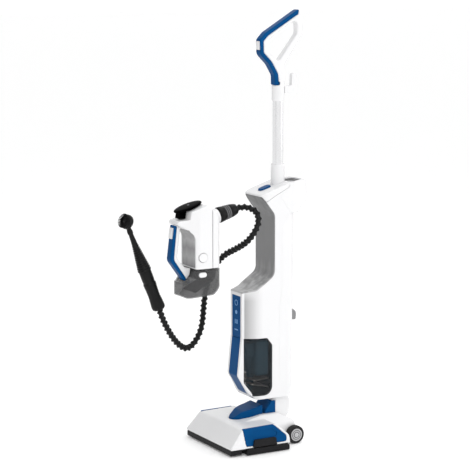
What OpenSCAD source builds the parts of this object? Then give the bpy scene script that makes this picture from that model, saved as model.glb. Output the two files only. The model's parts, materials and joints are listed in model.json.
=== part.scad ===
// Upright steam mop: a floor head, a pivoting neck, a standing vacuum body with a telescopic
// handle, and a handheld steam cleaner with its hose and lance that docks in the body's niche.
// Frame: origin on the floor under the floor head, +Z up, the front faces -Y.
// Side outlines are lists of [y, z, corner radius] and plan outlines of [x, y, corner radius].
// Every outline runs counter-clockwise. Sizes are in millimetres.

/* [Floor head] */
// Width of the white deck
head_w = 256; // [250:1:262]
// Height of the deck's underside
deck_z = 18.4; // [18.4:0.1:19]
// Diameter of the rear wheels
wheel_d = 50; // [46:1:50]
// Width of the rear wheels
wheel_w = 16; // [12:1:18]
// Thickness of the microfibre pad
pad_t = 5; // [4:0.5:5]

/* [Body] */
// Width of the standing body
body_w = 100; // [96:1:104]
// Wall thickness of the casings
wall = 3; // [2:0.5:3]
// Clearance around parts that slide in the casings
gap = 0.4; // [0.3:0.1:0.6]

/* [Telescopic handle] */
// Outer diameter of the aluminium tube
tube_d = 30; // [28:1:31]
// Height of the aluminium tube's visible top end
tube_top = 933; // [900:1:960]
// Width of the handle loop
loop_w = 25; // [22:1:28]

/* [Handheld unit] */
// Width of the handheld unit
hand_w = 92; // [88:1:94]
// Wall thickness of the handheld's shells
hand_wall = 2.5; // [2:0.5:3]

/* [Hose] */
// Outer diameter of the steam hose
hose_d = 18; // [16:1:19]

/* [Hidden] */
$fn = 64;
fit = 0.05;                       // radial clearance of running fits
tube_y = 125;                     // tube axis
neck_axis = [100, 58];            // neck hinge, [y, z]
swivel_y = 112;                   // swivel axis of the body on the neck
wheel_x = 80;                     // middle of a wheel
wheel_y = 135;                    // wheel axle
pin_r = 4;                        // hinge pins and wheel axles
barrel_r = 38;                    // barrel of the neck
neck_w = 65;                      // width of the neck
top_slope = 18;                   // tilt of the body's top face, degrees
port = [-61, 635];                // hose port face on the handheld, [y, z]
port_tilt = 14;                   // rise of the hose port's axis, degrees
lance_foot = [-50, -213, 386];    // where the hose enters the lance grip
lance_tilt = 21.5;                // lean of the lance to the front, degrees
niche_top = 681;                  // upper end of the niche behind the handheld
screw_levels = [263, 410, 551];   // heights of the screws in the rear shell
strip_t = 11;                     // depth of the blue strip in from the loop's front edge
hose_sides = 10;                  // flats around the hose's plain tube
hose_route = [                    // the hose from the handheld's port to the lance
    [0, -5, 649], [3, 12, 652], [12, 27, 651], [25, 39, 643], [35, 43, 630], [40, 41, 614],
    [38, 36, 597], [29, 28, 577], [12, 20, 558], [-10, 14, 544], [-36, 6, 530], [-60, -2, 517],
    [-79, -14, 497], [-90, -29, 466], [-95, -41, 432], [-97, -49, 396], [-99, -52, 362],
    [-99, -55, 331], [-97, -62, 305], [-94, -76, 281], [-89, -96, 264], [-82, -118, 262],
    [-74, -143, 277], [-66, -167, 303], [-59, -188, 334], [-54, -203, 362], [-50, -213, 386]];

// ---------- outline helpers ----------
function xy(p) = [p.x, p.y];
function side_normal(a, b) = let (d = b - a) [-d.y, d.x] / norm(d);
function turned(v, a) = [v.x * cos(a) - v.y * sin(a), v.x * sin(a) + v.y * cos(a)];
function arc_steps(r) = r < 6 ? 3 : r < 20 ? 5 : 8;

// Corner b between the edges a-b and b-c, rounded to radius r
function corner_arc(a, b, c, r) =
    let (n1 = side_normal(a, b), n2 = side_normal(b, c), turn = atan2(cross(n1, n2), n1 * n2),
         s = turn < 0 ? -1 : 1, centre = b + s * r * (n1 + n2) / (1 + n1 * n2), steps = arc_steps(r))
    r < 0.05 ? [b] : [for (k = [0:steps]) centre - s * r * turned(n1, turn * k / steps)];

function rounded(pts) =
    let (n = len(pts))
    [for (i = [0:n - 1]) each corner_arc(xy(pts[(i + n - 1) % n]), xy(pts[i]),
                                         xy(pts[(i + 1) % n]), pts[i].z)];

// Corner b moved inwards so that both of its edges move in by e
function inset_corner(a, b, c, e) =
    let (n1 = side_normal(a, b), n2 = side_normal(b, c)) b + e * (n1 + n2) / (1 + n1 * n2);

// The outline with every edge moved inwards by e (outwards where e is negative)
function inset(pts, e) =
    let (n = len(pts))
    [for (i = [0:n - 1])
        let (a = xy(pts[(i + n - 1) % n]), b = xy(pts[i]), c = xy(pts[(i + 1) % n]),
             p = inset_corner(a, b, c, e), convex = cross(b - a, c - b) > 0)
        [p.x, p.y, max(convex ? pts[i].z - e : pts[i].z + e, 0)]];

// ---------- solid helpers ----------
// A side outline made w wide, centred on x
module side(pts, w, x = 0) {
    translate([x - w / 2, 0, 0]) rotate([90, 0, 90]) linear_extrude(w) polygon(rounded(pts));
}

// A front outline [x, z, r] that runs from y0 to y1
module front(pts, y0, y1) {
    translate([0, y1, 0]) rotate([90, 0, 0]) linear_extrude(y1 - y0) polygon(rounded(pts));
}

// A plan outline that runs from z0 to z1
module plan(pts, z0, z1) {
    translate([0, 0, z0]) linear_extrude(z1 - z0) polygon(rounded(pts));
}

// A box between two corners
module block(low, high) {
    translate(low) cube(high - low);
}

// A rod along X at [y, z]
module rod_x(r, x0, x1, at) {
    translate([x0, at.x, at.y]) rotate([0, 90, 0]) cylinder(r = r, h = x1 - x0);
}

module both_sides() {
    children();
    mirror([1, 0, 0]) children();
}

// ---------- floor head ----------
function deck_side() = [[-91, deck_z, 0], [92, deck_z, 0], [91, 40, 14], [54, 73, 18],
                        [-52, 71, 16], [-91, 24, 2]];
function deck_front(e) = let (h = head_w / 2 - e)
    [[-h, deck_z - 1, 0], [h, deck_z - 1, 0], [h, 23, 2], [h - 9, 74 - e, 8], [-h + 9, 74 - e, 8],
     [-h, 23, 2]];
function hump_side() = [[-52, deck_z, 0], [148, deck_z, 0], [149, 34, 12], [139, 62, 14],
                        [104, 82, 24], [50, 82, 30], [-20, 70, 40]];
function hump_front(e) = [[-69 + e, deck_z - 1, 0], [69 - e, deck_z - 1, 0], [69 - e, 58, 16],
                          [44 - e, 84 - e, 18], [-44 + e, 84 - e, 18], [-69 + e, 58, 16]];
function panel_side() = [[-44, 25, 4], [81, 25, 5], [81, 40, 6], [52, 66, 10], [36, 80, 0],
                         [-52, 80, 0]];
// Finger hollow above the clip in each side panel
function hollow_side() = [[-24, 42, 3], [48, 42, 3], [56, 50, 6], [40, 63, 8], [-18, 63, 5]];
function nose_side() = [[-28, 60, 0], [61, 60, 0], [61, 107, 3], [42, 101, 20], [4, 92, 24],
                        [-28, 70, 6]];
function nose_plan() = [[-33, 61, 2], [-32, 20, 40], [-14, -24, 18], [14, -24, 18], [32, 20, 40],
                        [33, 61, 2]];

module deck_body(e) {
    intersection() {
        side(inset(deck_side(), e), head_w + 2);
        front(deck_front(e), -95, 95);
    }
    intersection() {
        side(inset(hump_side(), e), head_w + 2);
        front(hump_front(e), -95, 160);
    }
}

module neck_well(margin) {
    rod_x(barrel_r + margin, -neck_w / 2 - margin, neck_w / 2 + margin, neck_axis);
    block([-neck_w / 2 - margin, neck_axis.x - 12, 0], [neck_w / 2 + margin, 170, 130]);
    block([-neck_w / 2 - margin, neck_axis.x - 34 - margin, neck_axis.y],
          [neck_w / 2 + margin, 170, 130]);
}

module nose_body(e) {
    intersection() {
        side(inset(nose_side(), e), neck_w + 6);
        plan(inset(nose_plan(), e), 50, 112);
    }
}

module panel_zone(x0, x1, e) {
    side(inset(panel_side(), e), x1 - x0, (x0 + x1) / 2);
}

module deck_cover() {
    color("white") difference() {
        deck_body(0);
        difference() {
            deck_body(wall);
            neck_well(3.5);
        }
        block([-head_w / 2 + wall, -88, 0], [head_w / 2 - wall, 88, deck_z + wall + 0.2]);
        both_sides() block([37, 80, 0], [66, 145, deck_z + wall + 0.2]);
        neck_well(1);
        nose_body(0);
        both_sides() panel_zone(112, 140, 0);
        both_sides() rod_x(pin_r + 0.4, 50, 90, [wheel_y, wheel_d / 2]);
        rod_x(pin_r + 0.4, -48, 48, neck_axis);
        block([-17.3, 45, 30.7], [17.3, 66, 61.3]);
    }
}

module chassis() {
    color("dimgray") difference() {
        union() {
            block([-124, -56, 13.4], [124, 87, 18]);
            both_sides() block([48, 86, 10], [65, 140, 18]);
            both_sides() block([48, 122, 12], [65, 144, 25]);
            both_sides() rod_x(10, 48, 65, [wheel_y, wheel_d / 2]);
        }
        both_sides() rod_x(pin_r, 40, 90, [wheel_y, wheel_d / 2]);
    }
}

module side_panel() {
    intersection() {
        difference() {
            deck_body(0);
            deck_body(wall);
        }
        panel_zone(112, 140, 0.2);
        difference() {
            deck_body(-1);
            intersection() {
                side(hollow_side(), 24, 128);
                difference() {
                    deck_body(-2);
                    deck_body(1.2);
                }
            }
        }
    }
}

module side_panels() {
    color("#0a4a86") both_sides() side_panel();
}

module nose_cover() {
    color("#0a4a86") difference() {
        nose_body(0);
        nose_body(wall);
        block([-40, -30, 50], [40, 70, 66]);
        rod_x(barrel_r + 1, -40, 40, neck_axis);
    }
}

// Suction mouth along the front edge, open to the floor
module suction_nozzle() {
    color("#202124") difference() {
        block([-125, -90, 4], [125, -57, 18]);
        block([-112, -84, 0], [112, -62, 15]);
        block([-22, -70, 10], [22, -62, 20]);
    }
}

module brush_strip() {
    color("#303236") union() {
        block([-112, -61, 1.4], [112, -58.4, 3.9]);
        for (x = [-108:12:108]) translate([x - 4, -60.6, 0.4]) cube([8, 1.8, 1.2]);
    }
}

// Flat duct from the suction mouth to the neck's barrel
module head_duct() {
    color("gray") difference() {
        union() {
            block([-25, -71, 18.2], [25, 48, 40]);
            block([-17, 47, 31], [17, 62, 61]);
        }
        block([-22, -69, 20.6], [22, 46, 38]);
        block([-22, -69, 10], [22, -63, 30]);
        block([-14, 40, 33], [14, 70, 59]);
        rod_x(barrel_r + 1, -40, 40, neck_axis);
    }
}

module hinge_brackets() {
    color("gray") difference() {
        both_sides() union() {
            block([37, 88, 18.2], [46.6, 112, neck_axis.y]);
            rod_x(12, 37, 46.6, neck_axis);
        }
        rod_x(pin_r, -60, 60, neck_axis);
    }
}

module hinge_pins() {
    color("silver") both_sides() rod_x(pin_r, 21, 46.6, neck_axis);
}

module wheel_axles() {
    color("silver") both_sides() union() {
        rod_x(pin_r, 48, wheel_x + wheel_w / 2 + 0.6, [wheel_y, wheel_d / 2]);
        rod_x(pin_r + 2, wheel_x + wheel_w / 2 + 0.6, wheel_x + wheel_w / 2 + 2,
              [wheel_y, wheel_d / 2]);
    }
}

// Plate that carries the pad, with a rubbing bar along each side
module pad_frame() {
    color("#26282b") union() {
        block([-123, -48, pad_t + 0.4], [123, 87, 10]);
        both_sides() side([[-48, 2, 4], [88, 2, 4], [86, 18, 5], [-44, 18, 6]], 9.2, 129);
        both_sides() block([121, -40, pad_t + 0.4], [126, 80, 10]);
        for (x = [-90, 0, 90]) translate([x, 20, 9]) cylinder(r = 8, h = 4.2);
    }
}

module cleaning_pad() {
    color("whitesmoke") plan([[-122, -49, 10], [122, -49, 10], [122, 88, 10], [-122, 88, 10]],
                             0, pad_t);
}

module wheel() {
    r = wheel_d / 2;
    difference() {
        rod_x(r, wheel_x - wheel_w / 2, wheel_x + wheel_w / 2, [wheel_y, r]);
        rod_x(pin_r + fit, 0, 120, [wheel_y, r]);
        rod_x(r - 8, wheel_x + wheel_w / 2 - 3, 120, [wheel_y, r]);
    }
}

module wheel_left() {
    color("#2a2b2d") mirror([1, 0, 0]) wheel();
}

module wheel_right() {
    color("#2a2b2d") wheel();
}

// Foot lever that frees the pad frame, hinged along its lower edge
module clip() {
    side([[-25, 23.3, 0], [47, 23.3, 0], [44, 42, 4], [-22, 42, 4]], 5.4, 131.4);
    translate([131.4, -25, 23.3]) rotate([-90, 0, 0]) cylinder(r = 2.7, h = 72);
}

module clip_left() {
    color("#303236") mirror([1, 0, 0]) clip();
}

module clip_right() {
    color("#303236") clip();
}

// ---------- neck ----------
function stem_side() = [[128, 60, 4], [145, 76, 10], [147, 106, 10], [142, 123, 5], [94, 123, 4],
                        [85, 108, 10], [69, 88, 12], [67, 66, 0]];

module neck_body(e) {
    side(inset(stem_side(), e), neck_w - 2 * e);
    rod_x(barrel_r - e, -neck_w / 2 + e, neck_w / 2 - e, neck_axis);
}

module neck_frame() {
    color("white") difference() {
        union() {
            neck_body(wall + 0.2);
            intersection() {
                neck_body(0);
                block([-60, 101.4, 0], [60, 160, 130]);
            }
            translate([0, swivel_y, 116]) cylinder(r = 21, h = 26);
        }
        translate([0, swivel_y, 34]) cylinder(r = 15, h = 130);
        translate([0, swivel_y, 46]) rotate([90, 0, 0]) cylinder(r = 12, h = 60);
        rod_x(pin_r + fit, -60, -20.9, neck_axis);
        rod_x(pin_r + fit, 20.9, 60, neck_axis);
    }
}

module neck_cover() {
    color("#0a4a86") difference() {
        intersection() {
            neck_body(0);
            block([-60, 0, 0], [60, 101, 115]);
        }
        neck_body(wall);
        rod_x(pin_r + 0.6, -60, 60, neck_axis);
        translate([0, 90, 46]) rotate([90, 0, 0]) cylinder(r = 12, h = 60);
    }
}

// Snap ring that holds the body on the neck's spigot
module swivel_ring() {
    color("silver") translate([0, swivel_y, 137.6]) difference() {
        cylinder(r = 24, h = 2.4);
        translate([0, 0, -1]) cylinder(r = 21, h = 5);
    }
}

// ---------- standing body ----------
function body_side() = [
    [30, 127, 8], [138, 127, 14], [146, 168, 12], [146, 372, 8], [157, 388, 8], [157, 630, 18],
    [203, 684, 16], [192, 722, 9], [128, 714, 60], [43, 686, 3], [85, 632, 26], [85, 468, 26],
    [30, 430, 14], [-4, 424, 4], [-4, 300, 60], [-15, 194, 14], [13, 146, 20]];
function body_plan(e) = let (h = body_w / 2)
    inset([[-31, -20, 7], [31, -20, 7], [32, 3, 9], [h, 36, 34], [h, 158, 30], [-h, 158, 30],
           [-h, 36, 34], [-32, 3, 9]], e);
function block_plan(e) = let (h = body_w / 2)
    inset([[-h, 38, 31], [h, 38, 31], [h, 146, 40], [36, 204, 26], [-36, 204, 26], [-h, 146, 40]], e);
function bay_side() = [[-80, 137, 0], [80, 137, 24], [80, 276, 8], [64, 296, 8], [-80, 296, 0]];
// The white front of the dust bin, in front of its clear shell
function bin_front_side() = [[-80, 120, 0], [22, 120, 0], [22, 142, 0], [18, 149, 0], [1, 174, 4],
                             [1, 400, 0], [-80, 400, 0]];
// Space in front of the niche, up to its walls
function niche_side() = [[-80, 424, 0], [-4, 424, 0], [30, 430, 14], [85, 468, 26], [85, 632, 26],
                         [43, 686, 0], [-80, 686, 0]];
// Everything above the joint between the casings and the top cap
function cap_side() = [[-80, 650, 0], [52, 662, 0], [88, 682, 60], [134, 705, 20], [150, 760, 0],
                       [-80, 760, 0]];

module body_solid(e) {
    intersection() {
        side(inset(body_side(), e), body_w + 4);
        union() {
            plan(body_plan(e), 100, 650);
            plan(block_plan(e), 634, 760);
        }
    }
}

module body_wall() {
    difference() {
        body_solid(0);
        body_solid(wall);
    }
}

// Zone behind the joint between the front casings and the rear shell
module rear_zone(e) {
    side([[103 + e, 163, 0], [230, 163, 0], [230, 760, 0], [134 + e, 760, 0], [134 + e, 705, 0],
          [105 + e, 682, 0], [134 + e, 639, 0], [110 + e, 592, 0], [110 + e, 430, 0],
          [103 + e, 380, 0]], body_w + 20);
}

module bay(e) {
    side(inset(bay_side(), e), body_w + 20);
}

module niche(e) {
    intersection() {
        side(inset(niche_side(), e), body_w + 20);
        block([-80, -80, 400], [80, 120, niche_top - e / 10]);
    }
}

module front_casing() {
    color("white") difference() {
        body_wall();
        rear_zone(0);
        side(cap_side(), body_w + 20);
        bay(-gap);
        niche(-wall);
        block([-23.2, -60, 290], [23.2, 4, 412.2]);
        block([body_w / 2 - 8, 76, 530], [body_w / 2 - 2, 91, 574]);
        translate([0, swivel_y, 100]) cylinder(r = 28.2, h = 40);
    }
}

module rear_shell() {
    color("white") difference() {
        intersection() {
            body_wall();
            rear_zone(0.2);
        }
        plan([[-38, 144, 8], [38, 144, 8], [26, 187, 10], [-26, 187, 10]], 700, 760);
        translate([0, 160, 300]) rotate([90, 0, 0]) cylinder(r = 6, h = 40);
        for (z = screw_levels) screw_place(z) cylinder(r = 3.4, h = 20, $fn = 24);
        translate([0, tube_y, 600]) cylinder(r = 19.2, h = 200);
    }
}

// Local frames of the two screws at level z, +Z inwards from the rear face
module screw_place(z) {
    both_sides() translate([30, z < 380 ? 146.6 : 156.8, z]) rotate([90, 0, 0]) children();
}

module niche_liner() {
    color("gray") intersection() {
        body_solid(0);
        niche(-wall + 0.2);
    }
}

module top_cap() {
    color("white") difference() {
        intersection() {
            body_wall();
            side(inset(cap_side(), 0.2), body_w + 20);
        }
        rear_zone(0);
        niche(-wall);
        translate([0, tube_y, 600]) cylinder(r = 19.2, h = 200);
        button_place() oval(36.8, 23.8, -20, 30);
    }
}

module rear_insert() {
    color("dimgray") plan([[-37.6, 144.4, 8], [37.6, 144.4, 8], [25.6, 186.6, 10],
                           [-25.6, 186.6, 10]], 706, 711);
}

// Walls of the bay that takes the dust bin
module bin_bay() {
    color("lightgray") difference() {
        intersection() {
            body_solid(wall + 0.2);
            bay(-gap - 2.2);
        }
        bay(-gap);
        translate([0, 110, 205]) rotate([90, 0, 0]) cylinder(r = 14, h = 40);
    }
}

module swivel_socket() {
    color("dimgray") difference() {
        union() {
            translate([0, swivel_y, 125]) cylinder(r = 27.8, h = 12);
            intersection() {
                translate([0, swivel_y, 130.4]) cylinder(r = 33, h = 3);
                body_solid(wall + 0.3);
            }
        }
        translate([0, swivel_y, 124]) cylinder(r = 21 + fit, h = 14);
    }
}

// Pipe from the swivel up to the dust bin's inlet
module air_duct() {
    color("gray") difference() {
        union() {
            translate([0, swivel_y, 143]) cylinder(r = 20, h = 85);
            translate([0, swivel_y, 205]) rotate([90, 0, 0]) cylinder(r = 16, h = 28.8);
        }
        translate([0, swivel_y, 140]) cylinder(r = 16, h = 84);
        translate([0, swivel_y, 205]) rotate([90, 0, 0]) cylinder(r = 13.5, h = 30);
    }
}

module suction_motor() {
    color("silver") translate([0, 70, 306]) union() {
        cylinder(r = 41, h = 26);
        translate([0, 0, 26]) cylinder(r = 33, h = 52);
        translate([0, 0, 78]) cylinder(r = 12, h = 8);
    }
}

module exhaust_filter() {
    color("ivory") block([-34, 118, 306], [34, 138, 366]);
}

module control_board() {
    color("darkgreen") union() {
        block([-24, 6, 312], [24, 7.6, 408]);
        block([-16, 7.6, 330], [10, 14, 352]);
        block([-12, 7.6, 368], [16, 12, 390]);
    }
}

module control_panel() {
    color("#0a4a86") intersection() {
        body_solid(0);
        block([-23, -40, 296.9], [23, -1.8, 412]);
    }
}

// Plain signs for the cleaning modes, raised on the control panel
module panel_icons() {
    color("#9fc4e6") translate([0, -4, 0]) rotate([90, 0, 0]) linear_extrude(0.4) {
        translate([0, 392]) difference() {
            circle(8);
            circle(6.4);
        }
        translate([0, 366]) circle(5.5);
        for (i = [-1:1]) translate([i * 6 - 1.2, 334]) square([2.4, 12]);
        translate([-9, 316]) square([18, 3]);
    }
}

// Sleeve for the telescopic tube, with the collar that stands out of the top
module tube_guide() {
    color("white") translate([0, tube_y, 0]) difference() {
        union() {
            translate([0, 0, 470]) cylinder(r = 19, h = 243);
            translate([0, 0, 712]) cylinder(r = 18.8, h = 51);
        }
        translate([0, 0, 460]) cylinder(r = tube_d / 2 + fit, h = 340);
    }
}

function hook_side() = [[146.2, 350, 0], [160, 350, 6], [166, 330, 3], [178, 329, 4],
                        [180, 352, 14], [160, 366, 8], [146.2, 366, 0]];

module lower_cord_hook() {
    color("#55575a") side(hook_side(), 22);
}

module cable_gland() {
    color("#303236") translate([0, 141, 300]) rotate([-90, 0, 0]) difference() {
        union() {
            cylinder(r = 5.8, h = 16);
            cylinder(r = 9, h = 1.8);
        }
        translate([0, 0, -1]) cylinder(r = 3.6, h = 20);
    }
}

module body_screws() {
    color("silver") for (z = screw_levels) screw_place(z) translate([0, 0, 1.4]) union() {
        cylinder(r = 3, h = 2.4, $fn = 24);
        cylinder(r = 1.6, h = 9, $fn = 24);
    }
}

// Local frame on the top face, where the release button stands
module button_place() {
    translate([0, 83, 699.5]) rotate([top_slope, 0, 0]) children();
}

// An oval cylinder, long along local Y
module oval(l, w, z0, z1) {
    r = w / 2;
    translate([0, 0, z0]) linear_extrude(z1 - z0) union() {
        translate([0, l / 2 - r]) circle(r);
        translate([0, r - l / 2]) circle(r);
        square([w, l - w], center = true);
    }
}

module release_button() {
    color("#0a4a86") button_place() oval(35.8, 22.8, -9, 3.4);
}

// ---------- dust bin ----------
module bin_zone(e) {
    intersection() {
        body_solid(e);
        side(inset(bay_side(), e), body_w + 20);
    }
}

module bin_shell() {
    color([0.25, 0.3, 0.38, 0.5]) difference() {
        bin_zone(0);
        bin_zone(2.4);
        side(inset(bin_front_side(), -0.1), 160);
        translate([0, 110, 205]) rotate([90, 0, 0]) cylinder(r = 13, h = 40);
    }
}

module bin_front() {
    color("white") difference() {
        intersection() {
            bin_zone(0);
            side(bin_front_side(), 160);
        }
        bin_zone(wall);
        strip_band(0.2);
    }
}

// The blue strip's place on the front of the bin
module strip_band(margin) {
    intersection() {
        difference() {
            bin_zone(-1);
            bin_zone(1.6 + margin);
        }
        block([-23 - margin, -60, 139.4], [23 + margin, 20, 300]);
    }
}

module bin_strip() {
    color("#0a4a86") intersection() {
        side(bin_front_side(), 160);
        bin_zone(0);
        strip_band(0);
    }
}

// Cyclone core with its filter cup
module bin_cyclone() {
    color("silver") translate([0, 38, 0]) union() {
        translate([0, 0, 146]) cylinder(r = 10, h = 60);
        translate([0, 0, 206]) cylinder(r1 = 12, r2 = 26, h = 40);
        translate([0, 0, 246]) cylinder(r = 30, h = 34);
    }
}

// ---------- telescopic handle ----------
function loop_side() = [
    [109, 976, 2], [140, 976, 2], [141, 1006, 16], [139, 1032, 12], [194, 1112, 16],
    [194, 1150, 20], [184, 1181, 5], [80, 1119, 26], [62, 1100, 14], [63, 1061, 22],
    [90, 1034, 24], [108, 1004, 16]];
function loop_hole() = [[120, 1040, 8], [178, 1114, 12], [178, 1143, 8], [166, 1148, 6],
                        [102, 1109, 14], [89, 1097, 8], [90, 1064, 12]];

module strip_zone() {
    difference() {
        block([-40, 0, 977], [40, 183, 1200]);
        side(inset(loop_side(), strip_t), 100);
        block([-50, 124, 900], [50, 250, 1100]);
        side([[124, 1020, 0], [230, 1020, 0], [230, 1200, 0], [190, 1200, 0], [180, 1164, 0],
              [124, 1120, 0]], 100);
    }
}

module telescopic_tube() {
    color("silver") translate([0, tube_y, 640]) difference() {
        cylinder(r = tube_d / 2, h = tube_top - 610);
        translate([0, 0, -1]) cylinder(r = tube_d / 2 - 1.6, h = 400);
    }
}

module handle_grip() {
    color("white") difference() {
        union() {
            side(loop_side(), loop_w);
            translate([0, tube_y, tube_top]) cylinder(r = 17.2, h = 60);
        }
        side(loop_hole(), 100);
        intersection() {
            side(inset(loop_side(), -1), loop_w + 6);
            strip_zone();
        }
        translate([0, tube_y, 900]) cylinder(r = tube_d / 2 + fit, h = tube_top - 870);
        hook_place() cylinder(r = pin_r + fit, h = 6, center = true);
    }
}

module handle_strip() {
    color("#0a4a86") difference() {
        intersection() {
            side(loop_side(), loop_w + 1);
            strip_zone();
        }
        block([-8.4, 60, 1072.6], [8.4, 72, 1096.4]);
    }
}

module steam_switch() {
    color("white") side([[60.5, 1073, 1], [69, 1073, 0], [69, 1096, 0], [60.5, 1096, 1]], 16);
}

function upper_hook_side() = [[142.6, 954, 0], [178, 953, 5], [180, 1008, 7], [165, 1008, 7],
                              [164, 974, 4], [142.6, 973, 0]];

// Pivot of the upper cord hook, +Z out of the back of the handle
module hook_place() {
    translate([0, tube_y + 17.6, 963]) rotate([-90, 0, 0]) children();
}

module upper_cord_hook() {
    color("white") union() {
        side(upper_hook_side(), 14);
        hook_place() translate([0, 0, -2.2]) cylinder(r = pin_r, h = 4);
    }
}

// ---------- handheld unit ----------
function hand_side() = [[-74, 501, 0], [-74, 636, 9], [-114, 672, 9], [-160, 655, 3],
                        [-163, 634, 3], [-192, 631, 5], [-198, 622, 4], [-178, 613, 6],
                        [-150, 590, 24], [-150, 501, 0]];
function hand_plan() = let (h = hand_w / 2)
    [[-h, -74, 18], [-h, -140, 16], [-24, -200, 12], [24, -200, 12], [h, -140, 16], [h, -74, 18]];
function grip_side() = [[-198, 620, 2], [-210, 524, 20], [-168, 466, 4], [-153, 484, 2],
                        [-150.4, 500.6, 0], [-166, 503, 8], [-190, 530, 12], [-180, 612, 2]];
// Everything behind the blue strip of the handheld's grip
function grip_rear() = [[-187.5, 640, 0], [-199.5, 527, 16], [-155, 462, 0], [-140, 462, 0],
                        [-140, 640, 0]];
function tank_side() = [[-179, 424, 6], [-96, 429, 16], [-74.6, 452, 14], [-74.6, 500.2, 0],
                        [-146, 500.2, 2], [-154, 481.6, 2], [-168.6, 463.6, 2],
                        [-179, 463.6, 3]];

module hand_solid(e) {
    intersection() {
        side(inset(hand_side(), e), hand_w + 10);
        plan(inset(hand_plan(), e), 400, 700);
    }
}

// Local frame at the hose port, +Z along the port's axis away from the unit
module port_place() {
    translate([0, port.x, port.y]) rotate([-90 + port_tilt, 0, 0]) children();
}

module hand_front_shell() {
    color("white") difference() {
        hand_solid(0);
        hand_solid(hand_wall);
        block([-80, -101, 400], [80, 0, 700]);
        block([-36.2, -180, 504.8], [36.2, -146, 606.2]);
        translate([30, -130, 532]) rotate([0, 90, 0]) cylinder(r = 12.4, h = 40);
    }
}

module hand_rear_cover() {
    color("white") difference() {
        union() {
            difference() {
                hand_solid(0);
                hand_solid(hand_wall);
            }
            port_place() translate([0, 0, -34]) cylinder(r = 20, h = 33.7);
        }
        block([-80, -300, 400], [80, -100.8, 700]);
        port_place() translate([0, 0, -60]) cylinder(r = 8, h = 80);
    }
}

module hand_recess() {
    color("darkgray") intersection() {
        hand_solid(0);
        block([-36, -180, 505], [36, -147, 606]);
    }
}

module hand_grip() {
    color("white") difference() {
        intersection() {
            side(grip_side(), loop_w);
            side(inset(grip_rear(), 0.1), 60);
        }
        hand_solid(-0.2);
    }
}

module hand_strip() {
    color("#0a4a86") difference() {
        side(grip_side(), loop_w + 1);
        side(grip_rear(), 60);
        hand_solid(-0.2);
        block([-7.4, -220, 582.6], [7.4, -194, 612.4]);
    }
}

module thumb_button() {
    color("white") side([[-206.5, 583, 1], [-197, 583, 0], [-197, 612, 0], [-203, 612, 1]], 14);
}

function ellipse(a, b) = [for (t = [0:7.5:359]) [a * cos(t), b * sin(t)]];

module display_unit() {
    color("#101113") union() {
        translate([0, -152, 664.5]) rotate([18, 0, 0]) translate([0, 0, -3.5])
            linear_extrude(7) polygon(ellipse(29, 41));
        side([[-185, 634.8, 2], [-163.8, 634.8, 0], [-160.4, 658, 0], [-181, 652, 0]], 24);
    }
}

module boiler() {
    color("silver") union() {
        translate([0, -112, 516]) cylinder(r = 28, h = 84);
        translate([0, -112, 600]) cylinder(r = 6, h = 14);
    }
}

module water_tank() {
    color([0.3, 0.32, 0.36, 0.6]) difference() {
        tank_solid(0);
        tank_solid(2.2);
        latch_place(0.4);
    }
}

module tank_solid(e) {
    h = hand_w / 2 - 1;
    intersection() {
        side(inset(tank_side(), e), hand_w + 10);
        plan(inset([[-h, -181, 26], [h, -181, 26], [h, -74.4, 14], [-h, -74.4, 14]], e), 400, 520);
    }
}

// Local frame of the tank's latch on the right side, +Z outwards
module latch_place(margin) {
    translate([hand_w / 2 - 5, -131, 486]) rotate([0, 90, 0])
        oval(23 + 2 * margin, 13 + 2 * margin, -1, 6);
}

module tank_latch() {
    color("white") latch_place(0);
}

module side_button() {
    color("white") translate([hand_w / 2 - 8, -130, 532]) rotate([0, 90, 0]) cylinder(r = 12, h = 10);
}

// ---------- hose and lance ----------
function unit(v) = v / norm(v);
function way(i) = unit(hose_route[min(i + 1, len(hose_route) - 1)] - hose_route[max(i - 1, 0)]);
function ring(i) =
    let (t = i == 0 ? [0, cos(port_tilt), sin(port_tilt)]
           : i == len(hose_route) - 1 ? [0, -sin(lance_tilt), cos(lance_tilt)] : way(i),
         u = unit(cross(t, [1, -0.5, -0.3])), v = cross(t, u))
    [for (k = [0:hose_sides - 1])
        hose_route[i] + hose_d / 2 * (cos(360 * k / hose_sides) * u + sin(360 * k / hose_sides) * v)];

module steam_hose() {
    rings = len(hose_route);
    s = hose_sides;
    color("#202124") polyhedron(
        [for (i = [0:rings - 1]) each ring(i)],
        concat([[for (k = [0:s - 1]) k]],
               [for (i = [0:rings - 2], k = [0:s - 1])
                   [i * s + k, (i + 1) * s + k, (i + 1) * s + (k + 1) % s, i * s + (k + 1) % s]],
               [[for (k = [s - 1:-1:0]) (rings - 1) * s + k]]));
}

module hose_connector() {
    color("#202124") port_place() union() {
        cylinder(r1 = 22, r2 = 14.5, h = 57.6);
        translate([0, 0, 20]) cylinder(r = 20.4, h = 2);
        translate([0, 0, 26]) cylinder(r = 19.6, h = 2);
        translate([0, 0, 32]) cylinder(r = 18.8, h = 2);
    }
}

// Local frame of the lance, +Z from the grip to the tip
module lance_place() {
    translate(lance_foot) rotate([lance_tilt, 0, 0]) children();
}

module steam_lance() {
    color("#202124") lance_place() union() {
        translate([0, 0, 0.2]) cylinder(r = 18.4, h = 78);
        translate([0, 0, 78]) cylinder(r = 16.8, h = 40);
        translate([0, 0, 118]) cylinder(r1 = 18.4, r2 = 7.6, h = 90);
        translate([0, 0, 208]) cylinder(r = 7.6, h = 42);
        translate([0, 0, 262]) rotate([50, 0, 20]) cylinder(r = 21, h = 24, center = true);
    }
}

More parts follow.
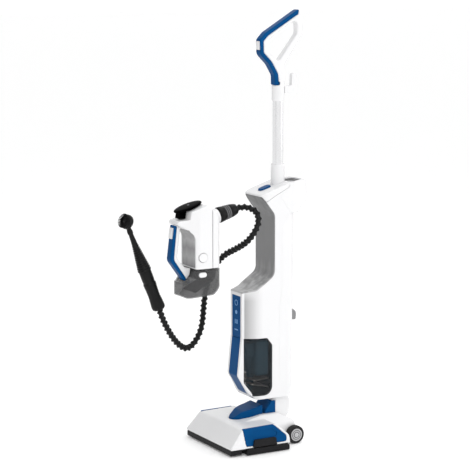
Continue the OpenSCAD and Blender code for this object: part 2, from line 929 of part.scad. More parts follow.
deck_cover();
chassis();
side_panels();
nose_cover();
suction_nozzle();
brush_strip();
head_duct();
hinge_brackets();
hinge_pins();
wheel_axles();
pad_frame();
cleaning_pad();
wheel_left();
wheel_right();
clip_left();
clip_right();
neck_frame();
neck_cover();
swivel_ring();
front_casing();
rear_shell();
niche_liner();
top_cap();
rear_insert();
bin_bay();
swivel_socket();
air_duct();
suction_motor();
exhaust_filter();
control_board();
control_panel();
panel_icons();
tube_guide();
lower_cord_hook();
cable_gland();
body_screws();
release_button();
bin_shell();
bin_front();
bin_strip();
bin_cyclone();
telescopic_tube();
handle_grip();
handle_strip();
steam_switch();
upper_cord_hook();
hand_front_shell();
hand_rear_cover();
hand_recess();
hand_grip();
hand_strip();
display_unit();
boiler();
water_tank();
tank_latch();
side_button();
thumb_button();
steam_hose();
hose_connector();
steam_lance();
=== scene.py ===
import json
import math
import bpy
import bmesh
import numpy as np
from mathutils import Matrix, Vector


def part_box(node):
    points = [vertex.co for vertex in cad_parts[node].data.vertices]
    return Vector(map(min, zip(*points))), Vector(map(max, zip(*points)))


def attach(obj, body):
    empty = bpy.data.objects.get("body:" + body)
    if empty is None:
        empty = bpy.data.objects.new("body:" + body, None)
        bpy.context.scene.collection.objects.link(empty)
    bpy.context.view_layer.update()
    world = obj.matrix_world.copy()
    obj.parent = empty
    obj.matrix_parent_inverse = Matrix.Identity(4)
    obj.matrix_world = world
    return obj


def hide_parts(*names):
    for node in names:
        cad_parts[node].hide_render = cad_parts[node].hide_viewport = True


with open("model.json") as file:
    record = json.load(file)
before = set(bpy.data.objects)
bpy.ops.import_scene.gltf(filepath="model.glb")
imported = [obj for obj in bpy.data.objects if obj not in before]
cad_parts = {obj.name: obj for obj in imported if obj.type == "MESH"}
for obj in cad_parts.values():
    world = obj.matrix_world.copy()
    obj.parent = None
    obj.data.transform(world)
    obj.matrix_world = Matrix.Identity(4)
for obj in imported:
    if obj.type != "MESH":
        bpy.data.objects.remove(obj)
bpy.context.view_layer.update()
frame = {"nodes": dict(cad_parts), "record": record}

# Upright steam mop. Everything is in metres in the CAD model's frame: +Z up, the front faces -Y.
MM = 0.001
SCENE = bpy.context.scene


# ---------- camera ----------
def make_camera(at, target, lens):
    data = bpy.data.cameras.new("camera")
    data.lens = lens
    data.sensor_width = 36
    data.clip_start = 0.1
    data.clip_end = 60
    camera = bpy.data.objects.new("camera", data)
    SCENE.collection.objects.link(camera)
    camera.location = at
    camera.rotation_euler = (Vector(target) - Vector(at)).to_track_quat("-Z", "Y").to_euler()
    SCENE.camera = camera


make_camera((4.24, -2.385, 1.347), (-0.059, 0.025, 0.567), 139.9)


# ---------- mesh helpers ----------
def add_object(name, mesh):
    obj = bpy.data.objects.new(name, mesh)
    SCENE.collection.objects.link(obj)
    return obj


def mesh_object(name, verts, faces, smooth=True):
    mesh = bpy.data.meshes.new(name)
    mesh.from_pydata([tuple(v) for v in verts], [], faces)
    mesh.validate()
    if smooth:
        mesh.shade_smooth()
    return add_object(name, mesh)


def outward(obj):
    """Turns every face of a closed mesh outwards."""
    bm = bmesh.new()
    bm.from_mesh(obj.data)
    bmesh.ops.recalc_face_normals(bm, faces=bm.faces)
    bm.to_mesh(obj.data)
    bm.free()
    return obj


def modify(obj, kind, **settings):
    mod = obj.modifiers.new(kind.lower(), kind)
    for key, value in settings.items():
        setattr(mod, key, value)


def place(obj, body, slot, material, *nodes):
    """The piece rides on a body, takes a finish, and stands for the CAD nodes it replaces."""
    obj.data.materials.clear()
    obj.data.materials.append(material)
    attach(obj, body)
    if nodes:
        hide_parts(*nodes)
    return obj


def grid_faces(rows, columns, closed=True):
    """Quads between the rows of points; each row is a ring where closed."""
    span = columns if closed else columns - 1
    return [(i * columns + k, i * columns + (k + 1) % columns,
             (i + 1) * columns + (k + 1) % columns, (i + 1) * columns + k)
            for i in range(rows - 1) for k in range(span)]


def tube_mesh(name, rings):
    """A closed tube through rings of the same number of points."""
    count = len(rings[0])
    verts = [p for r in rings for p in r]
    faces = grid_faces(len(rings), count)
    for ring, start in ((rings[0], 0), (rings[-1], (len(rings) - 1) * count)):
        centre = len(verts)
        verts.append(sum((Vector(p) for p in ring), Vector()) / count)
        faces += [(centre, start + (k + 1) % count, start + k) for k in range(count)]
    return outward(mesh_object(name, verts, faces))


def lathe(name, profile, frame_matrix, sides=48, ripple=None):
    """Turned solid: profile is [(radius, height)] in mm; ripple(a, h) scales the radius."""
    rings = []
    for r, h in profile:
        ring = []
        for k in range(sides):
            a = 2 * math.pi * k / sides
            s = r * (ripple(a, h) if ripple else 1)
            ring.append(frame_matrix @ Vector((s * math.cos(a) * MM, s * math.sin(a) * MM, h * MM)))
        rings.append(ring)
    return tube_mesh(name, rings)


# A box's faces on its eight corners: the low four in turn, then the high four above them
BOX_FACES = [(3, 2, 1, 0), (4, 5, 6, 7), (0, 1, 5, 4), (1, 2, 6, 5), (2, 3, 7, 6), (3, 0, 4, 7)]


def rounded_box(name, low, high, radius, segments, tilt=0):
    """Box between two corners in mm with rounded edges, tilted about its middle, in degrees."""
    (a, b, c), (d, e, f) = low, high
    points = [(x, y, z) for z in (c, f) for x, y in ((a, b), (d, b), (d, e), (a, e))]
    box = mesh_object(name, [Vector(p) * MM for p in points], BOX_FACES)
    if tilt:
        middle = (Vector(low) + Vector(high)) / 2 * MM
        box.data.transform(Matrix.Translation(middle)
                           @ Matrix.Rotation(math.radians(tilt), 4, "X")
                           @ Matrix.Translation(-middle))
    modify(box, "BEVEL", width=radius * MM, segments=segments)
    return box


# ---------- materials ----------
FINE_BUMP = 0.00002
ROUGH_SPREAD = 0.05
# Where the shade painted into the casing's hollow fades, in m: from its dark to its light end along
# Y and Z, and from the pillar to the hollow across X
PAINTED_SHADE_X = (0.0318, 0.0324)
PAINTED_SHADE_Y = (0.004, 0.052)
PAINTED_SHADE_Z = (0.40, 0.45)


def new_material(name):
    mat = bpy.data.materials.new(name)
    mat.use_nodes = True
    tree = mat.node_tree
    return mat, tree, tree.nodes["Principled BSDF"]


def noise(tree, scale, detail=3, kind="ShaderNodeTexNoise", stretch=(1, 1, 1)):
    coord = tree.nodes.new("ShaderNodeTexCoord")
    mapping = tree.nodes.new("ShaderNodeMapping")
    mapping.inputs["Scale"].default_value = stretch
    tex = tree.nodes.new(kind)
    tex.inputs["Scale"].default_value = scale
    if "Detail" in tex.inputs:
        tex.inputs["Detail"].default_value = detail
    tree.links.new(coord.outputs["Object"], mapping.inputs["Vector"])
    tree.links.new(mapping.outputs["Vector"], tex.inputs["Vector"])
    return tex


def add_bump(tree, shader, height, strength, distance):
    bump = tree.nodes.new("ShaderNodeBump")
    bump.inputs["Strength"].default_value = strength
    bump.inputs["Distance"].default_value = distance
    tree.links.new(height, bump.inputs["Height"])
    tree.links.new(bump.outputs["Normal"], shader.inputs["Normal"])


def map_range(tree, value, low, high, source=(0, 1)):
    node = tree.nodes.new("ShaderNodeMapRange")
    node.inputs["From Min"].default_value = source[0]
    node.inputs["From Max"].default_value = source[1]
    node.inputs["To Min"].default_value = low
    node.inputs["To Max"].default_value = high
    tree.links.new(value, node.inputs["Value"])
    return node.outputs["Result"]


def math_node(tree, operation, *values):
    """A Math node on sockets or plain numbers."""
    node = tree.nodes.new("ShaderNodeMath")
    node.operation = operation
    for socket, value in zip(node.inputs, values):
        if isinstance(value, (int, float)):
            socket.default_value = value
        else:
            tree.links.new(value, socket)
    return node.outputs["Value"]


def axes(tree, output):
    """The X, Y and Z sockets of one of the texture coordinates."""
    coord = tree.nodes.new("ShaderNodeTexCoord")
    split = tree.nodes.new("ShaderNodeSeparateXYZ")
    tree.links.new(coord.outputs[output], split.inputs["Vector"])
    return split.outputs


def colour_mix(tree, factor, low, high):
    ramp = tree.nodes.new("ShaderNodeValToRGB")
    ramp.color_ramp.elements[0].position = 0.3
    ramp.color_ramp.elements[1].position = 0.7
    ramp.color_ramp.elements[0].color = (*low, 1)
    ramp.color_ramp.elements[1].color = (*high, 1)
    tree.links.new(factor, ramp.inputs["Fac"])
    return ramp.outputs["Color"]


def grey_ramp(tree, factor, tones):
    """Cool greys along the factor; tones are [(factor, grey)]."""
    ramp = tree.nodes.new("ShaderNodeValToRGB")
    stops = ramp.color_ramp.elements
    while len(stops) < len(tones):
        stops.new(0.5)
    for stop, (at, grey) in zip(stops, tones):
        stop.position = at
        stop.color = (grey, grey, grey * 1.01, 1)
    tree.links.new(factor, ramp.inputs["Fac"])
    return ramp.outputs["Color"]


def moulded_finish(tree, shader, rough, gloss, grain=900, depth=FINE_BUMP):
    """Uneven gloss and a fine moulded grain."""
    smear = noise(tree, 55, 5)
    tree.links.new(map_range(tree, smear.outputs["Fac"], rough - ROUGH_SPREAD,
                             rough + ROUGH_SPREAD), shader.inputs["Roughness"])
    fine = noise(tree, grain, 2)
    add_bump(tree, shader, fine.outputs["Fac"], 0.5, depth)
    shader.inputs["Specular IOR Level"].default_value = gloss


def plastic(name, colour, rough, grain=900, depth=FINE_BUMP, spread=0.03, gloss=0.5):
    """Moulded plastic with faint mottling."""
    mat, tree, shader = new_material(name)
    mottle = noise(tree, 14, 4)
    low = tuple(c * (1 - spread) for c in colour)
    high = tuple(min(c * (1 + spread), 1) for c in colour)
    tree.links.new(colour_mix(tree, mottle.outputs["Fac"], low, high), shader.inputs["Base Color"])
    moulded_finish(tree, shader, rough, gloss, grain, depth)
    return mat


def plastic_with_painted_light(name, levels, rough):
    """Grey plastic with painted light and shade: its tone runs up the part, with faint upright
    streaks;
    levels are [(height in m, grey)]."""
    mat, tree, shader = new_material(name)
    low, high = levels[0][0], levels[-1][0]
    height = map_range(tree, axes(tree, "Object")["Z"], 0, 1, (low, high))
    streak = noise(tree, 60, 2, stretch=(1, 1, 0.03))
    shift = map_range(tree, streak.outputs["Fac"], -0.12, 0.12, (0.3, 0.7))
    tones = [((z - low) / (high - low), grey) for z, grey in levels]
    tree.links.new(grey_ramp(tree, math_node(tree, "ADD", height, shift), tones),
                   shader.inputs["Base Color"])
    moulded_finish(tree, shader, rough, 0.3)
    return mat


def white_with_painted_shade(name):
    """White plastic with painted shade: it falls to grey in the long hollow beside the front
    pillar.
    """
    mat, tree, shader = new_material(name)
    at = axes(tree, "Object")
    # Painted shade: darkest just behind the pillar, fading backwards and above the hollow's top
    painted_shade = map_range(tree, at["Y"], 1, 0, PAINTED_SHADE_Y)
    across = map_range(tree, math_node(tree, "ABSOLUTE", at["X"]), 0, 1, PAINTED_SHADE_X)
    painted_shade = math_node(tree, "MULTIPLY", painted_shade, across)
    painted_shade = math_node(tree, "MULTIPLY", painted_shade, map_range(tree, at["Z"], 1, 0, PAINTED_SHADE_Z))
    tree.links.new(grey_ramp(tree, painted_shade, ((0, 0.75), (0.4, 0.66), (1, 0.36))),
                   shader.inputs["Base Color"])
    moulded_finish(tree, shader, 0.25, 0.5)
    return mat


def metal(name, colour, rough):
    """Drawn metal with upright streaks."""
    mat, tree, shader = new_material(name)
    streak = noise(tree, 700, 4, stretch=(1, 1, 0.02))
    low = tuple(c * 0.9 for c in colour)
    tree.links.new(colour_mix(tree, streak.outputs["Fac"], low, colour),
                   shader.inputs["Base Color"])
    tree.links.new(map_range(tree, streak.outputs["Fac"], rough - 0.06, rough + 0.08),
                   shader.inputs["Roughness"])
    add_bump(tree, shader, streak.outputs["Fac"], 0.3, FINE_BUMP)
    shader.inputs["Metallic"].default_value = 1
    return mat


def smoky(name, colour, alpha):
    """Smoke-tinted clear plastic."""
    mat, tree, shader = new_material(name)
    mottle = noise(tree, 20, 3)
    low = tuple(c * 0.85 for c in colour)
    tree.links.new(colour_mix(tree, mottle.outputs["Fac"], low, colour),
                   shader.inputs["Base Color"])
    tree.links.new(map_range(tree, mottle.outputs["Fac"], 0.08, 0.14),
                   shader.inputs["Roughness"])
    shader.inputs["Alpha"].default_value = alpha
    shader.inputs["Specular IOR Level"].default_value = 0.35
    return mat


def cloth(name, colour):
    """Woven microfibre with a raised loop pile."""
    mat, tree, shader = new_material(name)
    weave = noise(tree, 420, 2, "ShaderNodeTexVoronoi")
    low = tuple(c * 0.72 for c in colour)
    tree.links.new(colour_mix(tree, weave.outputs["Distance"], colour, low),
                   shader.inputs["Base Color"])
    shader.inputs["Roughness"].default_value = 0.95
    shader.inputs["Sheen Weight"].default_value = 0.4
    add_bump(tree, shader, weave.outputs["Distance"], 0.8, 0.0006)
    return mat


WHITE = plastic("white_gloss", (0.75, 0.75, 0.757), 0.24, spread=0.012)
BLUE = plastic("blue_gloss", (0.0006, 0.058, 0.188), 0.32, spread=0.12, gloss=0.05)
GREY = plastic("grey_satin", (0.24, 0.24, 0.245), 0.42, spread=0.05, gloss=0.3)
PALE_GREY = plastic("pale_grey_satin", (0.46, 0.46, 0.47), 0.4, gloss=0.3)
DARK = plastic("dark_satin", (0.012, 0.012, 0.013), 0.42, 600, 0.00004, 0.15, gloss=0.1)
BLACK = plastic("black_satin", (0.005, 0.005, 0.0053), 0.32, 500, 0.00004, 0.2, gloss=0.16)
GLASS_BLACK = plastic("black_gloss", (0.0012, 0.0012, 0.0015), 0.3, spread=0.15, gloss=0.006)
RUBBER = plastic("hose_rubber", (0.004, 0.004, 0.0043), 0.3, 700, 0.00005, 0.2, gloss=0.2)
TYRE = plastic("tyre_rubber", (0.012, 0.012, 0.013), 0.55, 500, 0.00008, 0.15, gloss=0.2)
HUB = plastic("hub_grey", (0.42, 0.42, 0.43), 0.3)
HUB_DARK = plastic("hub_shadow_grey", (0.12, 0.12, 0.125), 0.4, gloss=0.3)
ICON = plastic("icon_light", (0.16, 0.33, 0.6), 0.4, gloss=0.2)
DIM_ICON = plastic("icon_dim", (0.09, 0.09, 0.1), 0.4, gloss=0.2)
CUP = plastic("cup_teal", (0.085, 0.17, 0.225), 0.4, spread=0.15, gloss=0.2)
PLATE = plastic("plate_umber", (0.30, 0.275, 0.255), 0.45, spread=0.15, gloss=0.2)
BOARD = plastic("board_green", (0.02, 0.16, 0.06), 0.45, spread=0.15)
# Niche liner: grey plastic, with painted shade that darkens it towards the top
NICHE_PAINTED_SHADE = plastic_with_painted_light("niche_grey_painted_shade", [(0.42, 0.46), (0.455, 0.30), (0.50, 0.21), (0.62, 0.22),
                                      (0.69, 0.135)], 0.45)
# Hand recess: grey plastic, with painted reflections as lighter bands across it
RECESS_PAINTED_REFLECTIONS = plastic_with_painted_light("recess_grey_painted_reflections", [(0.505, 0.22), (0.53, 0.38), (0.555, 0.26),
                                        (0.575, 0.42), (0.606, 0.24)], 0.4)
FILTER = cloth("filter_paper", (0.75, 0.73, 0.68))
PAD = cloth("pad_microfibre", (0.72, 0.72, 0.73))
ALUMINIUM = metal("tube_aluminium", (0.86, 0.86, 0.87), 0.16)
STEEL = metal("steel", (0.6, 0.6, 0.62), 0.3)
SMOKE_BIN = smoky("smoke_bin", (0.006, 0.009, 0.013), 0.4)
SMOKE_TANK = smoky("smoke_tank", (0.075, 0.075, 0.077), 0.5)

BY_SLOT = {
    "white_shell": WHITE, "blue_cover": BLUE, "grey_liner": GREY, "dark_frame": DARK,
    "display_black": GLASS_BLACK, "tyre_rubber": TYRE, "smoke_clear": SMOKE_TANK,
    "pad_cloth": PAD, "tube_aluminium": ALUMINIUM, "steel": STEEL, "filter_fabric": FILTER,
    "board_green": BOARD, "icon_light": ICON, "cyclone_grey": PALE_GREY,
    "hose_rubber": RUBBER, "lance_black": BLACK,
}
# Front casing: white plastic with painted shade in the hollow beside the pillar
WHITE_PAINTED_SHADE = white_with_painted_shade("white_gloss_painted_shade")
SPECIAL = {
    "front_casing": WHITE_PAINTED_SHADE, "bin_shell": SMOKE_BIN, "bin_bay": PALE_GREY,
    "niche_liner": NICHE_PAINTED_SHADE, "hand_recess": RECESS_PAINTED_REFLECTIONS, "bin_cyclone": CUP, "rear_insert": PALE_GREY,
}
SLOT_OF = {s["node"]: s["material_slot"] for s in frame["record"]["subparts"]}
BODY_OF = {n: b for b, nodes in frame["record"]["behaviour"]["bodies"].items() for n in nodes}


def material_of(node):
    return SPECIAL.get(node, BY_SLOT[SLOT_OF[node]])


# ---------- hose ----------
HOSE_ROUTE_MM = [
    (0, -5, 649), (3, 12, 652), (12, 27, 651), (25, 39, 643), (35, 43, 630), (40, 41, 614),
    (38, 36, 597), (29, 28, 577), (12, 20, 558), (-10, 14, 544), (-36, 6, 530), (-60, -2, 517),
    (-79, -14, 497), (-90, -29, 466), (-95, -41, 432), (-97, -49, 396), (-99, -52, 362),
    (-99, -55, 331), (-97, -62, 305), (-94, -76, 281), (-89, -96, 264), (-82, -118, 262),
    (-74, -143, 277), (-66, -167, 303), (-59, -188, 334), (-54, -203, 362), (-50, -213, 386)]
HOSE_ROUTE = [Vector(p) * MM for p in HOSE_ROUTE_MM]
HOSE_CORE = 6.3 * MM
HOSE_RIDGE = 9.5 * MM
HOSE_PITCH = 14 * MM
RING_STEP = 1.05 * MM
HOSE_SIDES = 24


def smooth_route(points, step):
    """Even points, step apart, along a Catmull-Rom curve through the route."""
    ends = [points[0] * 2 - points[1], *points, points[-1] * 2 - points[-2]]
    dense = []
    for i in range(1, len(ends) - 2):
        a, b, c, d = ends[i - 1:i + 3]
        for k in range(24):
            t = k / 24
            dense.append(0.5 * ((2 * b) + (c - a) * t + (2 * a - 5 * b + 4 * c - d) * t * t
                                + (3 * b - 3 * c + d - a) * t ** 3))
    dense.append(points[-1])
    run = [0.0]
    for a, b in zip(dense, dense[1:]):
        run.append(run[-1] + (b - a).length)
    count = int(run[-1] / step)
    line = np.array([tuple(p) for p in dense])
    marks = np.linspace(0, run[-1], count + 1)
    return [Vector(p) for p in np.stack([np.interp(marks, run, line[:, k]) for k in range(3)], 1)]


def make_hose():
    line = smooth_route(HOSE_ROUTE, RING_STEP)
    length = sum((b - a).length for a, b in zip(line, line[1:]))
    side = Vector((1, 0, 0))
    rings = []
    for i, p in enumerate(line):
        way = (line[min(i + 1, len(line) - 1)] - line[max(i - 1, 0)]).normalized()
        side = (side - way * side.dot(way)).normalized()
        up = way.cross(side)
        phase = 2 * math.pi * i * RING_STEP / HOSE_PITCH
        ring = []
        for k in range(HOSE_SIDES):
            a = 2 * math.pi * k / HOSE_SIDES
            wave = 0.5 + 0.5 * math.cos(phase - a)
            r = HOSE_CORE + (HOSE_RIDGE - HOSE_CORE) * wave ** 2
            ring.append(p + (side * math.cos(a) + up * math.sin(a)) * r)
        rings.append(ring)
    hose = tube_mesh("hose_tube", rings)
    place(hose, "hose_and_lance", "hose_rubber", RUBBER, "steam_hose")
    return hose, line, length


hose, hose_line, hose_length = make_hose()


# ---------- hose connector and lance ----------
def tilt_x(at, degrees):
    return Matrix.Translation(Vector(at) * MM) @ Matrix.Rotation(math.radians(degrees), 4, "X")


PORT = tilt_x((0, -61, 635), -76)
LANCE = tilt_x(HOSE_ROUTE_MM[-1], 21.5)
BRUSH_REACH = 262 * MM
BRUSH = (LANCE @ Matrix.Translation((0, 0, BRUSH_REACH))
         @ Matrix.Rotation(math.radians(20), 4, "Z") @ Matrix.Rotation(math.radians(50), 4, "X"))
LANCE_GRIP = [(10, 0.2), (15.6, 1), (17.8, 4), (18.4, 10), (17.6, 22), (16.3, 36), (16, 46),
              (16.6, 60), (17.4, 72), (17.5, 78), (16.8, 80), (15.9, 81), (15.9, 84), (16.4, 86),
              (16.6, 100), (16.4, 116), (15.5, 118.2)]


def wand_profile():
    """Ribbed cone and thin neck up to the brush."""
    ribs = [(14, 117), (18.4, 117.6), (18.6, 120), (16.6, 121)]
    for i in range(11):
        h, r = 122 + 6.4 * i, 17.9 - 0.86 * i
        ribs += [(r - 1.7, h), (r - 1.7, h + 1.8), (r, h + 2.8), (r, h + 4.6), (r - 1.7, h + 5.6)]
    neck = [(8.2, 193), (7.6, 200), (6.3, 222), (6.2, 225), (7.4, 226), (7.6, 229), (7.5, 235),
            (6.6, 236.5), (6.4, 244), (7.4, 247), (7.2, 250)]
    return ribs + neck


def ribbed_grip(angle, height):
    """Shallow finger flutes along the grip."""
    return 1 - 0.035 * max(0, math.cos(6 * angle)) if 12 < height < 70 else 1


def make_lance():
    grip = lathe("lance_grip", LANCE_GRIP, LANCE, 48, ribbed_grip)
    place(grip, "hose_and_lance", "lance_black", BLACK, "steam_lance")
    wand = lathe("lance_wand", wand_profile(), LANCE, 48)
    place(wand, "hose_and_lance", "lance_black", BLACK)
    hub = lathe("lance_brush_hub", [(4, -12), (14, -11.6), (18.4, -9.6), (19.8, -5), (19.6, 1),
                                    (18.4, 3.4), (12, 3.8), (7, 3.6), (6.2, -2), (3, -2.4)], BRUSH)
    place(hub, "hose_and_lance", "lance_black", BLACK)
    verts, faces = [], []
    for radius, count, lean in ((9.6, 14, 0.02), (13.4, 20, 0.08), (17, 26, 0.16)):
        for k in range(count):
            a = 2 * math.pi * k / count
            root = Vector((radius * math.cos(a), radius * math.sin(a), 2))
            way = Vector((lean * math.cos(a), lean * math.sin(a), 1)).normalized()
            side = way.orthogonal().normalized()
            up = way.cross(side)
            start = len(verts)
            for reach, width in ((0, 1.1), (5, 1.25), (9.4, 1.35), (9.9, 0.7)):
                centre = root + way * reach
                for j in range(6):
                    b = math.pi * j / 3
                    q = centre + (side * math.cos(b) + up * math.sin(b)) * width
                    verts.append(BRUSH @ (q * MM))
            faces += [tuple(start + f for f in face) for face in grid_faces(4, 6)]
            faces += [tuple(start + j for j in range(5, -1, -1)),
                      tuple(start + 18 + j for j in range(6))]
    tufts = outward(mesh_object("lance_bristles", verts, faces))
    place(tufts, "hose_and_lance", "lance_black", RUBBER)
    return [grip]


def make_connector():
    profile = [(17, 0), (20.4, 0.3), (21.6, 2), (21.3, 7), (20.5, 14), (19.6, 18), (17.9, 19.4),
               (17.2, 36), (18.2, 38), (17.4, 44), (16, 50), (14.6, 54.5), (13.6, 57), (9, 57.4)]
    plug = lathe("hose_plug", profile, PORT, 48)
    place(plug, "hose_and_lance", "hose_rubber", BLACK, "hose_connector")
    rings = []
    for i in range(3):
        h, r = 20.4 + 5.4 * i, 19.8 - 0.5 * i
        rings.append(lathe(f"hose_plug_ring_{i + 1}", [
            (16.5, h), (r - 0.5, h), (r, h + 0.7), (r, h + 2.6), (r - 0.5, h + 3.3),
            (16.5, h + 3.3)], PORT, 48))
        place(rings[-1], "hose_and_lance", "hose_rubber", HUB_DARK)
    return [plug, *rings]


# ---------- display, wheel hubs, bin, tank and pad ----------
DISPLAY = tilt_x((0, -152, 664.5), 18)
DISPLAY_HALF_W = 29
DISPLAY_HALF_L = 41
DISPLAY_TOP = 4.2
# Middle and size of each mark in mm
DISPLAY_MARKS = [(-12, 16, 4, 4), (0, 18, 5, 4), (12, 16, 4, 4), (-14, 3, 3, 3), (0, 3, 9, 5),
                 (14, 3, 3, 3), (-10, -12, 4, 4), (10, -12, 4, 4)]
WHEEL_FACE_X = 88
WHEEL_AXLE = (135, 25)


def make_display():
    """Domed oval display on its raised foot, with three dim rows of marks."""
    profile = [(0.72, -3.5), (0.9, -3.3), (0.985, -1.8), (1.0, 0), (0.985, 1.4), (0.94, 2.4),
               (0.82, 3.2), (0.6, 3.8), (0.3, 4.1), (0.05, DISPLAY_TOP)]
    sides = 72
    rings = []
    for r, h in profile:
        ring = []
        for k in range(sides):
            a = 2 * math.pi * k / sides
            point = (DISPLAY_HALF_W * r * math.cos(a), DISPLAY_HALF_L * r * math.sin(a), h)
            ring.append(DISPLAY @ (Vector(point) * MM))
        rings.append(ring)
    top = tube_mesh("display_disc", rings)
    place(top, "handheld", "display_black", GLASS_BLACK, "display_unit")
    foot = [(-12, -184.5, 634.9), (12, -184.5, 634.9), (12, -164, 634.9), (-12, -164, 634.9),
            (-12, -181, 654), (12, -181, 654), (12, -161, 660.5), (-12, -161, 660.5)]
    block = outward(mesh_object("display_foot", [Vector(v) * MM for v in foot], BOX_FACES,
                                smooth=False))
    modify(block, "BEVEL", width=2 * MM, segments=3)
    place(block, "handheld", "display_black", GLASS_BLACK)
    verts, faces = [], []
    for x, y, w, d in DISPLAY_MARKS:
        start = len(verts)
        fall = 3.4 * (x / DISPLAY_HALF_W) ** 2 + 2.2 * (y / DISPLAY_HALF_L) ** 2
        level = DISPLAY_TOP - fall + 0.12
        for h in (level - 0.5, level):
            for a, b in ((-w, -d), (w, -d), (w, d), (-w, d)):
                verts.append(DISPLAY @ (Vector((x + a / 2, y + b / 2, h)) * MM))
        faces += [tuple(start + f for f in face) for face in BOX_FACES]
    marks = outward(mesh_object("display_marks", verts, faces, smooth=False))
    place(marks, "handheld", "icon_light", DIM_ICON)


def make_wheel_hubs():
    """Stepped hub disc on the outer face of each wheel."""
    profile = [(2, 0.1), (17, 0.1), (17.2, 1.4), (16.4, 2), (14.6, 2), (13.6, 1), (11.6, 0.9),
               (10.8, 1.6), (9.4, 1.7), (8.6, 1.1), (5, 1), (4.4, 2.2), (3.4, 2.6), (0.5, 2.7)]
    dark = [(8.4, 0.6), (13.4, 0.6), (13.4, 1.15), (8.4, 1.15)]
    for side, name, body in ((-1, "left", "left_wheel"), (1, "right", "right_wheel")):
        at = (Matrix.Translation(Vector((side * (WHEEL_FACE_X + 0.05), *WHEEL_AXLE)) * MM)
              @ Matrix.Rotation(math.radians(90 * side), 4, "Y"))
        hub = lathe(f"wheel_hub_{name}", profile, at, 64)
        place(hub, body, "cyclone_grey", HUB)
        ring = lathe(f"wheel_hub_ring_{name}", dark, at, 64)
        place(ring, body, "cyclone_grey", HUB_DARK)


def make_bin_inside():
    """Inner cup and the plates under it, seen through the clear shell."""
    cup = rounded_box("bin_inner_cup", (-44, 33, 190), (44, 75, 289), 9, 4)
    place(cup, "dust_bin", "smoke_clear", CUP)
    for name, low, high, tilt in (("bin_plate_1", (-44, 26, 180), (44, 74, 182.5), 4),
                                  ("bin_plate_2", (-43, 20, 163), (43, 72, 165.5), -12)):
        plate = rounded_box(name, low, high, 1, 2, tilt)
        place(plate, "dust_bin", "cyclone_grey", PLATE)


def make_tank_inside():
    """Filling funnel and splash plate inside the tank."""
    plate = rounded_box("tank_baffle", (-36, -152, 452), (36, -88, 454), 0.8, 2, 28)
    place(plate, "tank", "smoke_clear", HUB_DARK)
    cup = rounded_box("tank_filler", (-34, -140, 470), (34, -84, 496), 6, 3)
    place(cup, "tank", "smoke_clear", HUB_DARK)


def make_pad():
    """Washable microfibre pad: a quilted pillow that lies flat on the floor."""
    low, high = (Vector(v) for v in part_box("cleaning_pad"))
    half = (high - low) / 2
    centre = (high + low) / 2
    columns, rows = 60, 36
    verts = []
    for face in (1, -1):
        for j in range(rows + 1):
            for i in range(columns + 1):
                u, v = 2 * i / columns - 1, 2 * j / rows - 1
                pull = 1 - 0.018 * (1 - v * v)
                pinch = 1 - 0.012 * (1 - u * u)
                rim = min(1, 12 * (1 - abs(u)), 8 * (1 - abs(v)))
                crown = math.sqrt(max(0, 1 - (1 - rim) ** 2))
                channels = math.cos(9 * math.pi * u) * math.cos(5 * math.pi * v)
                quilt = 1 - 0.12 * (0.5 + 0.5 * channels)
                z = half.z * (0.15 + 0.85 * crown * (quilt if face > 0 else 1)) * face
                verts.append((centre.x + half.x * u * pull, centre.y + half.y * v * pinch,
                              centre.z + z))
    width = columns + 1
    count = width * (rows + 1)
    top = grid_faces(rows + 1, width, closed=False)
    faces = top + [tuple(count + k for k in reversed(f)) for f in top]
    edge = (list(range(width)) + [j * width + columns for j in range(1, rows + 1)]
            + [rows * width + i for i in range(columns - 1, -1, -1)]
            + [j * width for j in range(rows - 1, 0, -1)])
    faces += [(a, b, b + count, a + count) for a, b in zip(edge, edge[1:] + edge[:1])]
    pad = outward(mesh_object("cleaning_pad_cloth", verts, faces))
    place(pad, "floor_head", "pad_cloth", PAD, "cleaning_pad")


on_hose = make_connector() + make_lance()
make_display()
make_wheel_hubs()
make_bin_inside()
make_tank_inside()
make_pad()


# ---------- carried-over shells with soft edges ----------
WELD = 0.000004
FLAT_ANGLE = math.radians(0.8)
SHARP_ANGLE = math.radians(32)
KEPT_FACES = 0.35


def clean_copy(node):
    """The CAD node's own shape as a new mesh, welded and with its flat faces joined."""
    name = node + "_moulded"
    mesh = frame["nodes"][node].data.copy()
    mesh.name = name
    bm = bmesh.new()
    bm.from_mesh(mesh)
    bmesh.ops.remove_doubles(bm, verts=bm.verts, dist=WELD)
    bmesh.ops.dissolve_limit(bm, angle_limit=FLAT_ANGLE, verts=bm.verts, edges=bm.edges)
    for face in bm.faces:
        face.smooth = True
    bm.to_mesh(mesh)
    bm.free()
    if "custom_normal" in mesh.attributes:
        mesh.attributes.remove(mesh.attributes["custom_normal"])
    return add_object(name, mesh)


def bevelled(node, width):
    """The node with small rounded edges; width in mm."""
    obj = clean_copy(node)
    modify(obj, "BEVEL", width=width * MM, segments=2, limit_method="ANGLE",
           angle_limit=SHARP_ANGLE, harden_normals=True)
    return place(obj, BODY_OF[node], SLOT_OF[node], material_of(node), node)


def apply_modifiers(obj):
    graph = bpy.context.evaluated_depsgraph_get()
    mesh = bpy.data.meshes.new_from_object(obj.evaluated_get(graph))
    obj.modifiers.clear()
    obj.data = mesh


def moulded(node, voxel, passes):
    """The node with large soft edges: remeshed and relaxed; voxel in mm."""
    obj = clean_copy(node)
    modify(obj, "REMESH", mode="VOXEL", voxel_size=voxel * MM, use_smooth_shade=True)
    modify(obj, "SMOOTH", factor=0.5, iterations=passes)
    modify(obj, "DECIMATE", ratio=KEPT_FACES)
    apply_modifiers(obj)
    obj.data.shade_smooth()
    return place(obj, BODY_OF[node], SLOT_OF[node], material_of(node), node)


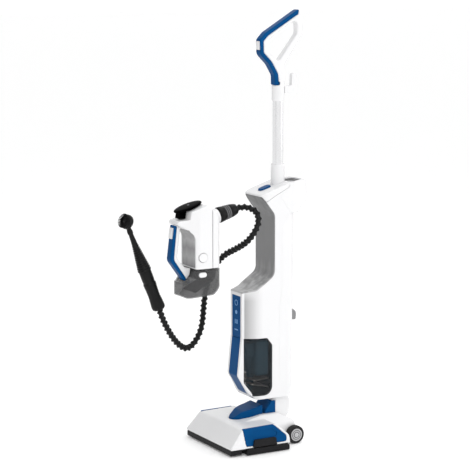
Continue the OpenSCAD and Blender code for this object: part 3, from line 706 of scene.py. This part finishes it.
# Voxel in mm and smoothing passes
SOFT = {
    "hand_front_shell": (1.3, 14), "hand_rear_cover": (1.3, 14), "hand_grip": (1.3, 12),
    "hand_strip": (1.2, 16), "handle_grip": (1.4, 22), "handle_strip": (1.2, 20),
    "nose_cover": (1.2, 12), "neck_cover": (1.2, 10), "neck_frame": (1.4, 8),
    "water_tank": (1.3, 8), "deck_cover": (1.6, 8), "top_cap": (1.5, 6),
}
# Bevel width in mm
EDGE = {
    "side_panels": 0.8, "front_casing": 1.5, "rear_shell": 1.2, "niche_liner": 1.0,
    "control_panel": 0.8, "tube_guide": 1.2, "release_button": 1.5, "bin_shell": 0.8,
    "bin_front": 0.8, "bin_strip": 0.6, "telescopic_tube": 0.5, "steam_switch": 1.0,
    "upper_cord_hook": 1.5, "lower_cord_hook": 1.5, "hand_recess": 1.0,
    "tank_latch": 0.8, "side_button": 1.0, "thumb_button": 1.0, "chassis": 0.6,
    "suction_nozzle": 1.0, "pad_frame": 1.0, "clip_left": 0.8, "clip_right": 0.8,
    "wheel_left": 1.5, "wheel_right": 1.5, "rear_insert": 0.5,
}
for node, (voxel, passes) in SOFT.items():
    moulded(node, voxel, passes)
for node, width in EDGE.items():
    bevelled(node, width)
for node, obj in frame["nodes"].items():
    obj.data.materials.clear()
    obj.data.materials.append(material_of(node))


# ---------- stage ----------
FLOOR_HALF = 30
STUDIO_LEVEL = 1.1
# (azimuth, (half width of the dark core, half width with its soft edge), level); angles in degrees
BANDS = [(-77, (9, 24), 0.12), (-148, (16, 28), 0.3)]


def make_stage():
    """Pale floor with a faint glow of its own, so that it meets the white studio unseen."""
    size = FLOOR_HALF
    floor = mesh_object("floor", [(-size, -size, 0), (size, -size, 0), (size, size, 0),
                                  (-size, size, 0)], [(0, 1, 2, 3)], smooth=False)
    mat, tree, shader = new_material("floor_pale")
    speck = noise(tree, 3, 3)
    tree.links.new(colour_mix(tree, speck.outputs["Fac"], (0.95, 0.95, 0.95), (0.96, 0.96, 0.96)),
                   shader.inputs["Base Color"])
    shader.inputs["Roughness"].default_value = 0.6
    shader.inputs["Emission Color"].default_value = (1, 1, 1, 1)
    shader.inputs["Emission Strength"].default_value = 0.1
    floor.data.materials.append(mat)


def area_light(name, at, target, size, power):
    data = bpy.data.lights.new(name, "AREA")
    data.shape = "RECTANGLE"
    data.size, data.size_y = size
    data.energy = power
    lamp = bpy.data.objects.new(name, data)
    SCENE.collection.objects.link(lamp)
    lamp.location = at
    lamp.rotation_euler = (Vector(target) - Vector(at)).to_track_quat("-Z", "Y").to_euler()


def make_world():
    """White studio with darker upright bands, which give glossy tubes their streaks.
    The camera itself sees plain white."""
    world = bpy.data.worlds.new("studio")
    SCENE.world = world
    world.use_nodes = True
    tree = world.node_tree
    way = axes(tree, "Generated")
    angle = math_node(tree, "ARCTAN2", way["Y"], way["X"])
    lit = STUDIO_LEVEL
    for azimuth, edge, dark in BANDS:
        width = math_node(tree, "ABSOLUTE",
                          math_node(tree, "ADD", angle, -math.radians(azimuth)))
        level = map_range(tree, width, dark, 1, tuple(math.radians(a) for a in edge))
        lit = math_node(tree, "MULTIPLY", level, lit)
    path = tree.nodes.new("ShaderNodeLightPath")
    seen = math_node(tree, "MAXIMUM", lit, path.outputs["Is Camera Ray"])
    tree.links.new(seen, tree.nodes["Background"].inputs["Strength"])
    tree.nodes["Background"].inputs["Color"].default_value = (1, 1, 1, 1)


def make_lights():
    area_light("key", (2.4, -1.6, 2.4), (0, 0, 0.6), (1.6, 1.6), 24)
    area_light("rear_fill", (1.8, 2.4, 1.4), (0, 0, 0.5), (1.2, 1.8), 10)
    area_light("top", (0, 0.6, 3.2), (0, 0, 0.5), (1.5, 1.5), 12)


make_stage()
make_world()
make_lights()
SCENE.view_settings.view_transform = "Standard"
